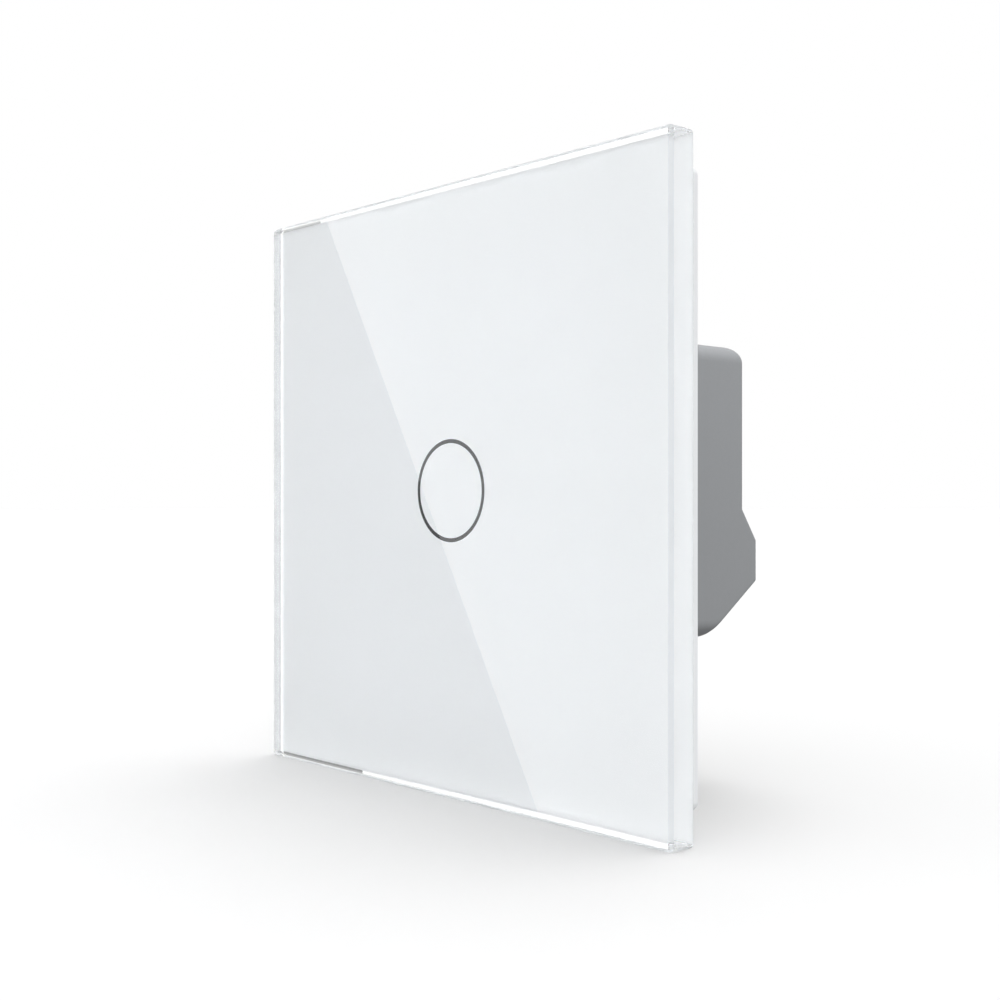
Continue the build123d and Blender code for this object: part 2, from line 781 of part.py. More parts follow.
with BuildPart() as moving_contact:
    with BuildSketch(armature_plane(contact_place, armature_thickness - contact_height)):
        Circle(contact_diameter / 2)
    extrude(amount=contact_height)
save(moving_contact.part, "moving_contact")

closed_rise = contact_place * sin(radians(armature_angle - armature_travel))
fixed_top = yoke_top + fit_gap + closed_rise + armature_thickness - contact_height - contact_gap
strip_top = fixed_top - fixed_contact_height
strip_x = yoke_x + contact_place
with BuildPart() as fixed_contact:
    with BuildSketch(at_depth(fixed_top)):
        with Locations((strip_x, relay_z)):
            Circle(contact_diameter / 2)
    extrude(amount=fixed_contact_height)
    with BuildSketch(at_depth(strip_top)):
        with Locations((strip_x + contact_strip / 2, relay_z)):
            Rectangle(contact_diameter + contact_strip, blade_width)
    extrude(amount=contact_strip)
    with BuildSketch(at_depth(strip_top)):
        with Locations((strip_x + (contact_diameter + contact_strip) / 2, relay_z)):
            Rectangle(contact_strip, blade_width)
    extrude(amount=strip_top - yoke_foot)
save(fixed_contact.part, "fixed_contact")

# The other parts stand on the power board, between the relay, the walls' ribs and the terminals
capacitor_x = relay_x + relay_length / 2 + part_gap + capacitor_diameter / 2
capacitor_z = inner_height / 2 - part_margin - capacitor_diameter / 2
rib_face = inner_width / 2 - rib_height - part_gap / 2
varistor_z = screw_place_z - housing_boss / 2 - part_gap - varistor_diameter / 2
fuse_x = fuse_width / 2 - rib_face
choke_x = fuse_x + (fuse_width + part_gap + choke_diameter) / 2
choke_z = relay_z - relay_width / 2 - part_gap - choke_diameter / 2
film_x = rib_face - seat_gap - film_length / 2
film_z = varistor_z - varistor_diameter / 2 - close_gap - film_width / 2

with BuildPart() as supply_capacitor:
    with BuildSketch(at_depth(board_depth + capacitor_height)):
        with Locations((capacitor_x, capacitor_z)):
            Circle(capacitor_diameter / 2)
    extrude(amount=capacitor_height)
    fillet(supply_capacitor.edges().sort_by(Axis.Y)[-1], capacitor_round)
save(supply_capacitor.part, "supply_capacitor")

with BuildPart() as film_capacitor:
    with BuildSketch(at_depth(board_depth + film_height)):
        with Locations((film_x, film_z)):
            Rectangle(film_length, film_width)
    extrude(amount=film_height)
    fillet(film_capacitor.edges().filter_by(Axis.Y), capacitor_round)
save(film_capacitor.part, "film_capacitor")

with BuildPart() as varistor:
    with BuildSketch(Plane.YZ.offset(rib_face - varistor_thickness)):
        with Locations((board_depth + varistor_foot + varistor_diameter / 2, varistor_z)):
            Circle(varistor_diameter / 2)
    extrude(amount=varistor_thickness)
save(varistor.part, "varistor")

with BuildPart() as fuse:
    with BuildSketch(at_depth(board_depth + fuse_height)):
        with Locations((fuse_x, fuse_place)):
            Rectangle(fuse_width, fuse_length)
    extrude(amount=fuse_height)
save(fuse.part, "fuse")

with BuildPart() as choke_core:
    with BuildSketch(at_depth(board_depth + choke_height)):
        with Locations((choke_x, choke_z)):
            Circle(choke_diameter / 2)
    extrude(amount=choke_height)
    with BuildSketch(at_depth(board_depth + choke_height - choke_flange)):
        with Locations((choke_x, choke_z)):
            Circle(choke_diameter / 2)
            Circle(choke_neck / 2, mode=Mode.SUBTRACT)
    extrude(amount=choke_height - 2 * choke_flange, mode=Mode.SUBTRACT)
save(choke_core.part, "choke_core")

with BuildPart() as choke_winding:
    with BuildSketch(at_depth(board_depth + choke_height - choke_flange)):
        with Locations((choke_x, choke_z)):
            Circle(choke_diameter / 2 - coil_clear)
            Circle(choke_neck / 2, mode=Mode.SUBTRACT)
    extrude(amount=choke_height - 2 * choke_flange)
save(choke_winding.part, "choke_winding")

# Flat parts soldered to the power board, each with its place and its size
transistor_x = inner_width / 2 - transistor_to_wall - transistor_length / 2
flat_parts = {
    "bridge_rectifier": (0, 0, rectifier_length, rectifier_width, rectifier_height),
    "switch_transistor": (transistor_x, transistor_z, transistor_length, transistor_width, transistor_height),
    "voltage_regulator": (0, regulator_z, regulator_length, regulator_width, regulator_height),
}
for name, (x, z, length, width, height) in flat_parts.items():
    with BuildPart() as flat_part:
        with BuildSketch(at_depth(board_depth + height)):
            with Locations((x, z)):
                Rectangle(length, width)
        extrude(amount=height)
    save(flat_part.part, name)
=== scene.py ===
"""Touch light switch: the looks of its glass panel, frame, wall plate, housing and inner parts."""

import json
from math import cos, pi, radians, sin

import bmesh
import bpy
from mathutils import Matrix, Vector

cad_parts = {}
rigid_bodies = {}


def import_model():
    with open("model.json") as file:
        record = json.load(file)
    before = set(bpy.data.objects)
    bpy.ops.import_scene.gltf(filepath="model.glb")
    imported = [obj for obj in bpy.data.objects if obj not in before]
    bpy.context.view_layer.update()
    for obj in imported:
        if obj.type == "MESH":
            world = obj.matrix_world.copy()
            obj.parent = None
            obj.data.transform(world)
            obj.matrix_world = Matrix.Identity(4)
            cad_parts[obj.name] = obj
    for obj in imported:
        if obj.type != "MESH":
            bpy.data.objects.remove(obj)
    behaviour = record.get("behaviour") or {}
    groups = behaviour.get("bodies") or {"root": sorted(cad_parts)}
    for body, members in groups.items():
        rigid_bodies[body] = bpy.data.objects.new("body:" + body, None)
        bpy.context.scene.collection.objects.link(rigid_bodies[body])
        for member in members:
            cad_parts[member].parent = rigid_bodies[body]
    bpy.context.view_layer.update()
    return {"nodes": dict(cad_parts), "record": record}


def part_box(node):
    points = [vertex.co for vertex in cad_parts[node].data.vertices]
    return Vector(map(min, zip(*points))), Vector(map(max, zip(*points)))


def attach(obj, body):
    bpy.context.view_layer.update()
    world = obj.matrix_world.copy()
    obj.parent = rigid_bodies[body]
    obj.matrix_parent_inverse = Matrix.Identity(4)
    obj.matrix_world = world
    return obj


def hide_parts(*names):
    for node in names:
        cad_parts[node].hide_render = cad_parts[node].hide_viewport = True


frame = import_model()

MM = 0.001

bl_info = {
    "name": "Touch Light Switch",
    "version": (1, 0, 0),
    "blender": (4, 5, 0),
    "location": "3D View > Sidebar > Touch Switch",
    "description": "Builds a frameless glass touch switch round its packed frame",
    "category": "Add Mesh",
}

NODES = frame["nodes"]
RECORD = frame["record"]
BODIES = {
    node: body for body, nodes in RECORD["behaviour"]["bodies"].items() for node in nodes
}


def node_size(node):
    """The length of a node's box along each axis."""
    low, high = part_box(node)
    return high - low


def node_centre(node):
    low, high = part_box(node)
    return (low + high) / 2


RING_DIAMETER = node_size("ring_mark").x


class TouchSwitchSizes(bpy.types.PropertyGroup):
    """Sizes of the details that are added to the frame."""

    glass_bevel: bpy.props.FloatProperty(
        name="Glass bevel", description="Width of the bevel on the glass's front and corner edges",
        default=0.47 * MM, unit="LENGTH", precision=5)
    back_bevel: bpy.props.FloatProperty(
        name="Back bevel", description="Depth of the bevel on the glass's two upright back edges",
        default=0.34 * MM, unit="LENGTH", precision=5)
    ink_depth: bpy.props.FloatProperty(
        name="Ink depth", description="How far the ink wets the back of the glass",
        default=0.02 * MM, unit="LENGTH", precision=5)
    ink_reach: bpy.props.FloatProperty(
        name="Ink reach", description="How far the print runs on above and below its solid",
        default=0.08 * MM, unit="LENGTH", precision=5)
    ring_line: bpy.props.FloatProperty(
        name="Ring line", description="Width of the dark ring's line",
        default=0.53 * MM, unit="LENGTH", precision=5)
    moulded_edge: bpy.props.FloatProperty(
        name="Moulded edge", description="Radius on the edges of the moulded white parts",
        default=0.18 * MM, unit="LENGTH", precision=5)
    pressed_edge: bpy.props.FloatProperty(
        name="Pressed edge", description="Radius on the edges of the pressed steel plate",
        default=0.12 * MM, unit="LENGTH", precision=5)
    small_edge: bpy.props.FloatProperty(
        name="Small edge", description="Radius on the edges of small parts",
        default=0.08 * MM, unit="LENGTH", precision=5)
    wire: bpy.props.FloatProperty(
        name="Coil wire", description="Diameter of the wire on the relay coil and the choke",
        default=0.42 * MM, unit="LENGTH", precision=5)


class TouchSwitchColours(bpy.types.PropertyGroup):
    """Colours of the finishes, as linear red, green and blue."""

    print_white: bpy.props.FloatVectorProperty(
        name="Print", description="White ink behind the glass", subtype="COLOR", size=3,
        min=0, max=1, default=(0.93, 0.948, 0.97))
    ring_dark: bpy.props.FloatVectorProperty(
        name="Ring", description="Dark ink of the ring", subtype="COLOR", size=3,
        min=0, max=1, default=(0.006, 0.009, 0.012))
    frame_white: bpy.props.FloatVectorProperty(
        name="Moulded white", description="White plastic of the frame and the cover",
        subtype="COLOR", size=3, min=0, max=1, default=(0.8, 0.815, 0.83))
    housing_grey: bpy.props.FloatVectorProperty(
        name="Housing", description="Grey plastic of the housing", subtype="COLOR", size=3,
        min=0, max=1, default=(0.187, 0.194, 0.202))
    floor_white: bpy.props.FloatVectorProperty(
        name="Floor", description="The pale floor", subtype="COLOR", size=3,
        min=0, max=1, default=(0.845, 0.845, 0.845))


def settings():
    scene = bpy.context.scene
    return scene.touch_switch_sizes, scene.touch_switch_colours


# Materials

# Linear colours of the finishes that have no setting
GLASS_TINT, ACRYLIC_TINT = (0.985, 0.995, 0.992), (0.9, 0.92, 0.93)
ZINC_YELLOW, ZINC_BLUE = (0.60, 0.60, 0.56), (0.64, 0.67, 0.70)
LACQUER_TRACK, LACQUER_GAP = (0.012, 0.13, 0.045), (0.006, 0.062, 0.024)
# Refractive indexes
GLASS_INDEX, PLASTIC_INDEX, ACRYLIC_INDEX = 1.52, 1.5, 1.49
# Most of a noise pattern lies between these two values
PATTERN_LOW, PATTERN_HIGH = 0.3, 0.7
# How far from a cell's middle a track's edge starts and ends, in cells
TRACK_EDGE = (0.42, 0.5)
# The grain of the two coloured mouldings: roughness, depth, waves per metre, unevenness of colour
WHITE_GRAIN = (0.38, 0.006 * MM, 2200, 0.01)
GREY_GRAIN = (0.5, 0.02 * MM, 2400, 0.025)
# Moulded, dipped and fired finishes: colour, then the grain as above
PLASTICS = {
    "moulded_black": ((0.018, 0.018, 0.02), 0.45, 0.012 * MM, 2600, 0.03),
    "relay_blue": ((0.012, 0.06, 0.27), 0.25, 0.004 * MM, 1800, 0.02),
    "sleeve_black": ((0.012, 0.014, 0.03), 0.22, 0.003 * MM, 900, 0.05),
    "film_yellow": ((0.62, 0.42, 0.03), 0.32, 0.004 * MM, 1500, 0.03),
    "epoxy_blue": ((0.02, 0.07, 0.33), 0.2, 0.03 * MM, 500, 0.08),
    "spool_cream": ((0.55, 0.5, 0.38), 0.4, 0.012 * MM, 2600, 0.03),
    "ceramic_tan": ((0.36, 0.27, 0.17), 0.3, 0.004 * MM, 2500, 0.05),
    "lamp_white": ((0.72, 0.68, 0.42), 0.25, 0.002 * MM, 1800, 0.03),
    "ferrite_grey": ((0.035, 0.036, 0.04), 0.55, 0.03 * MM, 1400, 0.08),
}
# Metals: colour, roughness, the scratches' waves per metre
METALS = {
    "brass": ((0.72, 0.50, 0.19), 0.28, 1500),
    "tinned_copper": ((0.66, 0.66, 0.64), 0.3, 1500),
    "soft_iron": ((0.42, 0.42, 0.43), 0.36, 900),
    "spring_bronze": ((0.62, 0.36, 0.17), 0.24, 1500),
    "contact_silver": ((0.80, 0.79, 0.76), 0.2, 1500),
    "enamelled_wire": ((0.55, 0.20, 0.075), 0.24, 1200),
}
FOAMS = {
    "tape_foam": (0.74, 0.74, 0.73),
    "conductive_foam": (0.03, 0.03, 0.032),
}


def new_material(name):
    """An empty node material and its node tree."""
    material = bpy.data.materials.new(name)
    material.use_nodes = True
    tree = material.node_tree
    tree.nodes.clear()
    output = tree.nodes.new("ShaderNodeOutputMaterial")
    shader = tree.nodes.new("ShaderNodeBsdfPrincipled")
    tree.links.new(shader.outputs["BSDF"], output.inputs["Surface"])
    return material, tree, shader


def noise(tree, waves, detail, stretch=(1, 1, 1)):
    """A noise pattern on object coordinates, with its size in waves per metre."""
    place = tree.nodes.new("ShaderNodeTexCoord")
    mapping = tree.nodes.new("ShaderNodeMapping")
    mapping.inputs["Scale"].default_value = stretch
    pattern = tree.nodes.new("ShaderNodeTexNoise")
    pattern.inputs["Scale"].default_value = waves
    pattern.inputs["Detail"].default_value = detail
    tree.links.new(place.outputs["Object"], mapping.inputs["Vector"])
    tree.links.new(mapping.outputs["Vector"], pattern.inputs["Vector"])
    return pattern.outputs["Fac"]


def mapped(tree, value, source, target):
    """A value with its range mapped on to another one."""
    node = tree.nodes.new("ShaderNodeMapRange")
    node.inputs["From Min"].default_value, node.inputs["From Max"].default_value = source
    node.inputs["To Min"].default_value, node.inputs["To Max"].default_value = target
    tree.links.new(value, node.inputs["Value"])
    return node.outputs["Result"]


def uneven_gloss(tree, shader, pattern, low, high):
    """Roughness that follows a pattern between two values."""
    gloss = mapped(tree, pattern, (PATTERN_LOW, PATTERN_HIGH), (low, high))
    tree.links.new(gloss, shader.inputs["Roughness"])


def mottled(tree, shader, pattern, first, second):
    """A base colour that follows a pattern from one colour to another."""
    mix = tree.nodes.new("ShaderNodeMix")
    mix.data_type = "RGBA"
    mix.inputs["A"].default_value = (*first, 1)
    mix.inputs["B"].default_value = (*second, 1)
    tree.links.new(pattern, mix.inputs["Factor"])
    tree.links.new(mix.outputs["Result"], shader.inputs["Base Color"])


def raised(tree, shader, height, distance, strength=0.3):
    """A bump that follows a pattern."""
    node = tree.nodes.new("ShaderNodeBump")
    node.inputs["Strength"].default_value = strength
    node.inputs["Distance"].default_value = distance
    tree.links.new(height, node.inputs["Height"])
    tree.links.new(node.outputs["Normal"], shader.inputs["Normal"])


def shade(colour, factor):
    return tuple(min(1.0, channel * factor) for channel in colour)


def plastic(name, colour, roughness, grain, waves, variation):
    """Moulded plastic: an even colour with a fine spark-eroded grain and slightly uneven gloss."""
    material, tree, shader = new_material(name)
    cloud = noise(tree, waves=60, detail=2)
    mottled(tree, shader, cloud, shade(colour, 1 - variation), shade(colour, 1 + variation))
    texture = noise(tree, waves, detail=4)
    uneven_gloss(tree, shader, texture, roughness - 0.05, roughness + 0.05)
    raised(tree, shader, texture, grain)
    shader.inputs["IOR"].default_value = PLASTIC_INDEX
    return material


def glass(name):
    """Clear polished float glass."""
    material, tree, shader = new_material(name)
    shader.inputs["Base Color"].default_value = (*GLASS_TINT, 1)
    shader.inputs["Transmission Weight"].default_value = 1.0
    shader.inputs["IOR"].default_value = GLASS_INDEX
    uneven_gloss(tree, shader, noise(tree, waves=35, detail=2), 0.0, 0.012)
    return material


def ink(name, colour, roughness):
    """Screen ink, with the faint weave of the screen in it."""
    material, tree, shader = new_material(name)
    weave = noise(tree, waves=5200, detail=1)
    mottled(tree, shader, weave, shade(colour, 0.992), shade(colour, 1.008))
    raised(tree, shader, weave, distance=0.002 * MM, strength=0.1)
    shader.inputs["Roughness"].default_value = roughness
    return material


def zinc(name):
    """Bright zinc on pressed steel: rolling lines and a slight yellow and blue bloom."""
    material, tree, shader = new_material(name)
    mottled(tree, shader, noise(tree, waves=90, detail=4), ZINC_YELLOW, ZINC_BLUE)
    lines = noise(tree, waves=900, detail=3, stretch=(0.05, 1, 1))
    uneven_gloss(tree, shader, lines, 0.26, 0.4)
    raised(tree, shader, lines, distance=0.01 * MM, strength=0.25)
    shader.inputs["Metallic"].default_value = 1.0
    return material


def metal(name, colour, roughness, waves):
    """Turned or stamped bright metal with fine scratches."""
    material, tree, shader = new_material(name)
    mottled(tree, shader, noise(tree, waves=260, detail=4), shade(colour, 0.82), colour)
    scratches = noise(tree, waves, detail=5)
    uneven_gloss(tree, shader, scratches, roughness - 0.07, roughness + 0.1)
    raised(tree, shader, scratches, distance=0.006 * MM, strength=0.25)
    shader.inputs["Metallic"].default_value = 1.0
    return material


def board_lacquer(name):
    """Green solder lacquer over copper tracks, which show as paler, slightly raised cells."""
    material, tree, shader = new_material(name)
    place = tree.nodes.new("ShaderNodeTexCoord")
    cells = tree.nodes.new("ShaderNodeTexVoronoi")
    cells.distance = "MANHATTAN"
    cells.feature = "F1"
    cells.inputs["Scale"].default_value = 260
    tree.links.new(place.outputs["Object"], cells.inputs["Vector"])
    edge = mapped(tree, cells.outputs["Distance"], TRACK_EDGE, (0, 1))
    mottled(tree, shader, edge, LACQUER_TRACK, LACQUER_GAP)
    raised(tree, shader, edge, distance=-0.03 * MM, strength=0.4)
    shader.inputs["Roughness"].default_value = 0.28
    return material


def frosted(name):
    """Frosted clear acrylic that spreads the lamps' light."""
    material, tree, shader = new_material(name)
    shader.inputs["Base Color"].default_value = (*ACRYLIC_TINT, 1)
    shader.inputs["Transmission Weight"].default_value = 0.75
    shader.inputs["IOR"].default_value = ACRYLIC_INDEX
    frost = noise(tree, waves=4200, detail=3)
    uneven_gloss(tree, shader, frost, 0.35, 0.55)
    raised(tree, shader, frost, distance=0.01 * MM)
    return material


def foam(name, colour):
    """Foam with small open pore cells and painted shade in them: its colour is darker where the
    bump sinks in and lighter where it stands up.
    """
    material, tree, shader = new_material(name)
    pores_and_shade = noise(tree, waves=3600, detail=2)
    # Painted shade and painted highlight: the colour follows the bump, darker in the sunk spots and
    # lighter on the high ones
    mottled(tree, shader, pores_and_shade, shade(colour, 0.7), shade(colour, 1.15))
    raised(tree, shader, pores_and_shade, distance=0.06 * MM, strength=0.6)
    shader.inputs["Roughness"].default_value = 0.9
    return material


def pale_floor(name, white):
    """The pale floor, faintly uneven."""
    material, tree, shader = new_material(name)
    mottled(tree, shader, noise(tree, waves=4, detail=2), shade(white, 0.998), white)
    shader.inputs["Roughness"].default_value = 0.85
    shader.inputs["Specular IOR Level"].default_value = 0.1
    return material


def glow(name, strength):
    """The even glow of a studio card."""
    material, tree, shader = new_material(name)
    shader.inputs["Base Color"].default_value = (0, 0, 0, 1)
    shader.inputs["Emission Color"].default_value = (1, 1, 1, 1)
    shader.inputs["Emission Strength"].default_value = strength
    return material


def finish(name):
    """One finish of this switch, made once and shared after that."""
    if name in bpy.data.materials:
        return bpy.data.materials[name]
    if name in PLASTICS:
        return plastic(name, *PLASTICS[name])
    if name in METALS:
        return metal(name, *METALS[name])
    if name in FOAMS:
        return foam(name, FOAMS[name])
    colours = settings()[1]
    makers = {
        "clear_float_glass": lambda: glass(name),
        "white_screen_ink": lambda: ink(name, tuple(colours.print_white), roughness=0.35),
        "dark_ring_ink": lambda: ink(name, tuple(colours.ring_dark), roughness=0.15),
        "moulded_white": lambda: plastic(name, tuple(colours.frame_white), *WHITE_GRAIN),
        "moulded_grey": lambda: plastic(name, tuple(colours.housing_grey), *GREY_GRAIN),
        "zinc_plated_steel": lambda: zinc(name),
        "board_lacquer": lambda: board_lacquer(name),
        "frosted_acrylic": lambda: frosted(name),
        "pale_floor": lambda: pale_floor(name, tuple(colours.floor_white)),
    }
    return makers[name]()


# Ways to make and finish a piece

# How close two points of a solid, of a turned profile and of a wire count as one
CAD_WELD, TURNED_WELD, WIRE_WELD = 0.002 * MM, 0.001 * MM, 0.0005 * MM
# Angles in degrees: up to this, faces count as one; past this, edges get a round or stay sharp
FLAT_ANGLE, ROUNDED_ANGLE, SHARP_ANGLE = 1, 30, 35
ROUND_SEGMENTS = 2
UPRIGHT_COSINE = 0.99
# A wire's sides, and how many steps it takes for one turn
WIRE_SIDES, WIRE_STEPS = 6, 20
WIRE_SHARP_ANGLE = 60


def placed(name, mesh, material):
    """Makes an object of a bmesh, with a material."""
    data = bpy.data.meshes.new(name)
    mesh.to_mesh(data)
    mesh.free()
    made = bpy.data.objects.new(name, data)
    bpy.context.scene.collection.objects.link(made)
    data.materials.append(material)
    return made


def dress(node, material_name):
    """Gives a node of the frame its finish."""
    slots = NODES[node].material_slots
    if not slots:
        NODES[node].data.materials.append(finish(material_name))
    for slot in slots:
        slot.material = finish(material_name)


def piece(name, mesh, node, material_name, replaces=()):
    """Makes an object of a bmesh that rides with a node's body and hides the nodes that it
    replaces.
    """
    made = placed(name, mesh, finish(material_name))
    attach(made, BODIES[node])
    if replaces:
        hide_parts(*replaces)
    return made


def shade_smooth(made, angle=SHARP_ANGLE):
    """Smooth shading, with sharp edges kept past an angle and flat faces kept flat."""
    made.data.shade_smooth()
    made.data.set_sharp_from_angle(angle=radians(angle))
    evened = made.modifiers.new("even_normals", "WEIGHTED_NORMAL")
    evened.keep_sharp = True


def bevel(mesh, edges, width, segments=1, loop_slide=False):
    bmesh.ops.bevel(
        mesh, geom=edges, offset=width, offset_type="OFFSET", segments=segments, profile=0.5,
        affect="EDGES", clamp_overlap=True, material=-1, loop_slide=loop_slide)


def clean_copy(node):
    """A bmesh of a node with its loose triangles joined and its flat faces made whole."""
    mesh = bmesh.new()
    mesh.from_mesh(NODES[node].data)
    bmesh.ops.remove_doubles(mesh, verts=mesh.verts, dist=CAD_WELD)
    bmesh.ops.dissolve_limit(
        mesh, angle_limit=radians(FLAT_ANGLE), use_dissolve_boundaries=False,
        verts=mesh.verts, edges=mesh.edges)
    return mesh


def softened(node, name, material_name, width):
    """A node's shape again, with the small rounds that moulding or pressing leaves on its edges."""
    mesh = clean_copy(node)
    sharp = [
        e for e in mesh.edges
        if len(e.link_faces) == 2 and e.calc_face_angle() > radians(ROUNDED_ANGLE)
    ]
    bevel(mesh, sharp, width, ROUND_SEGMENTS, loop_slide=True)
    shade_smooth(piece(name, mesh, node, material_name, (node,)))


def block(low, high):
    """A bmesh box between two corners."""
    mesh = bmesh.new()
    bmesh.ops.create_cube(mesh, size=1.0)
    low, high = Vector(low), Vector(high)
    bmesh.ops.scale(mesh, vec=high - low, verts=mesh.verts)
    bmesh.ops.translate(mesh, vec=(low + high) / 2, verts=mesh.verts)
    return mesh


def upright_edges(mesh):
    """The edges of a bmesh that stand upright."""
    return [
        e for e in mesh.edges
        if abs((e.verts[1].co - e.verts[0].co).normalized().z) > UPRIGHT_COSINE
    ]


def turned(points, centre, steps=64):
    """A solid of revolution about the Y direction, from points of radius and depth in order."""
    mesh = bmesh.new()
    verts = [mesh.verts.new((centre.x + radius, depth, centre.z)) for radius, depth in points]
    edges = [mesh.edges.new(pair) for pair in zip(verts, verts[1:])]
    bmesh.ops.spin(
        mesh, geom=verts + edges, cent=centre, axis=(0, 1, 0), angle=2 * pi, steps=steps,
        use_merge=True)
    bmesh.ops.remove_doubles(mesh, verts=mesh.verts, dist=TURNED_WELD)
    bmesh.ops.recalc_face_normals(mesh, faces=mesh.faces)
    return mesh


def tube_profile(inner, outer, low, high):
    """The closed profile of a tube along the Y direction, for turned."""
    return [(inner, low), (outer, low), (outer, high), (inner, high), (inner, low)]


def wound(centre, radius, low, high, wire):
    """One layer of wire wound round the Y direction from one depth to another."""
    turns = int((high - low - wire) / wire)
    steps = turns * WIRE_STEPS
    mesh = bmesh.new()
    start = Vector((centre.x + radius, low + wire / 2, centre.z))
    ring = bmesh.ops.create_circle(mesh, segments=WIRE_SIDES, radius=wire / 2, cap_ends=True)
    bmesh.ops.translate(mesh, vec=start, verts=ring["verts"])
    geom = mesh.verts[:] + mesh.edges[:] + mesh.faces[:]
    rise = (high - low - wire) / steps
    bmesh.ops.spin(
        mesh, geom=geom, cent=centre, axis=(0, 1, 0), dvec=(0, rise, 0), angle=2 * pi * turns,
        steps=steps, use_merge=False)
    bmesh.ops.remove_doubles(mesh, verts=mesh.verts, dist=WIRE_WELD)
    bmesh.ops.recalc_face_normals(mesh, faces=mesh.faces)
    return mesh


def joined(meshes):
    """Several bmeshes as one."""
    whole = bmesh.new()
    for mesh in meshes:
        data = bpy.data.meshes.new("part")
        mesh.to_mesh(data)
        mesh.free()
        whole.from_mesh(data)
        bpy.data.meshes.remove(data)
    return whole


def coil(name, node, box):
    """A winding in place of a node: a plain core with one layer of wire round it."""
    wire = settings()[0].wire
    low, high = box
    centre = node_centre(node)
    outer = (high.x - low.x) / 2
    core = turned(tube_profile(outer / 2, outer - wire, low.y, high.y), centre)
    layer = wound(centre, outer - wire / 2, low.y, high.y, wire)
    made = piece(name, joined([core, layer]), node, "enamelled_wire", (node,))
    shade_smooth(made, WIRE_SHARP_ANGLE)


# The pieces, from the room to the wall box

RING_STEPS = 128
# The capacitor's sleeve: its groove, its rim and the can's end, as shares of the radius
SLEEVE_GROOVE, SLEEVE_RIM, CAN_END = 1 / 16, 0.8, 0.78
CAN_SHARP_ANGLE = 40


class TOUCHSWITCH_OT_glass(bpy.types.Operator):
    """Build the bevelled glass plate"""
    bl_idname = "touch_switch.glass"
    bl_label = "Glass Plate"

    def execute(self, context):
        sizes = settings()[0]
        low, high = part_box("glass_panel")
        middle = (low.y + high.y) / 2
        mesh = block(low, high)
        front = [e for e in mesh.edges if min(v.co.y for v in e.verts) < middle]
        bevel(mesh, front, sizes.glass_bevel)
        # The two upright back edges get a bevel that ends at the side of the print
        near = sizes.ink_depth
        sides = [
            e for e in upright_edges(mesh)
            if all(high.y - v.co.y < near for v in e.verts) and abs(e.verts[0].co.x) > high.x / 2
        ]
        bevel(mesh, sides, sizes.back_bevel)
        back = [v for v in mesh.verts if high.y - v.co.y < near]
        widest = max(v.co.x for v in back)
        ends = [v for v in back if abs(v.co.x) > widest - near]
        bmesh.ops.scale(mesh, vec=(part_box("white_print")[1].x / widest, 1, 1), verts=ends)
        piece("bevelled_glass", mesh, "glass_panel", "clear_float_glass", ("glass_panel",))
        return {"FINISHED"}


class TOUCHSWITCH_OT_print(bpy.types.Operator):
    """Lay the white print and the dark ring on the back of the glass"""
    bl_idname = "touch_switch.print"
    bl_label = "Print and Ring"

    def execute(self, context):
        sizes = settings()[0]
        low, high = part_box("white_print")
        front = low.y - sizes.ink_depth
        mesh = block(
            (low.x, front, low.z - sizes.ink_reach), (high.x, high.y, high.z + sizes.ink_reach))
        white = piece(
            "white_back_print", mesh, "white_print", "white_screen_ink", ("white_print",))
        shade_smooth(white)
        outer = RING_DIAMETER / 2
        profile = tube_profile(outer - sizes.ring_line, outer, front - sizes.ink_depth / 2, low.y)
        mesh = turned(profile, node_centre("ring_mark"), RING_STEPS)
        ring = piece("touch_ring_line", mesh, "ring_mark", "dark_ring_ink", ("ring_mark",))
        shade_smooth(ring)
        return {"FINISHED"}


class TOUCHSWITCH_OT_panel_frame(bpy.types.Operator):
    """Finish the white frame behind the glass and its tape"""
    bl_idname = "touch_switch.panel_frame"
    bl_label = "Panel Frame"

    def execute(self, context):
        sizes = settings()[0]
        softened("panel_frame", "moulded_panel_frame", "moulded_white", sizes.moulded_edge)
        dress("panel_tape", "tape_foam")
        return {"FINISHED"}


class TOUCHSWITCH_OT_wall_plate(bpy.types.Operator):
    """Finish the steel mounting plate"""
    bl_idname = "touch_switch.wall_plate"
    bl_label = "Mounting Plate"

    def execute(self, context):
        sizes = settings()[0]
        softened("mounting_plate", "pressed_wall_plate", "zinc_plated_steel", sizes.pressed_edge)
        return {"FINISHED"}


class TOUCHSWITCH_OT_cover(bpy.types.Operator):
    """Finish the front cover and its screws"""
    bl_idname = "touch_switch.cover"
    bl_label = "Front Cover"

    def execute(self, context):
        sizes = settings()[0]
        softened("front_cover", "moulded_front_cover", "moulded_white", sizes.moulded_edge)
        softened("cover_screws", "cross_head_screws", "zinc_plated_steel", sizes.small_edge)
        return {"FINISHED"}


class TOUCHSWITCH_OT_touch_key(bpy.types.Operator):
    """Finish the touch key: its foam pad, electrode, light ring and lamps"""
    bl_idname = "touch_switch.touch_key"
    bl_label = "Touch Key"

    def execute(self, context):
        sizes = settings()[0]
        softened("light_ring", "frosted_light_ring", "frosted_acrylic", sizes.small_edge)
        dress("touch_pad", "conductive_foam")
        dress("touch_electrode", "brass")
        dress("indicator_leds", "lamp_white")
        return {"FINISHED"}


class TOUCHSWITCH_OT_boards(bpy.types.Operator):
    """Finish the two boards, their plug connection and the small parts between them"""
    bl_idname = "touch_switch.boards"
    bl_label = "Boards"

    def execute(self, context):
        sizes = settings()[0]
        for node in ("sensor_board", "power_board"):
            dress(node, "board_lacquer")
        for node in ("header_body", "board_socket", "touch_chip"):
            softened(node, f"{node}_moulding", "moulded_black", sizes.small_edge)
        dress("header_pins", "tinned_copper")
        dress("sensor_passives", "ceramic_tan")
        return {"FINISHED"}


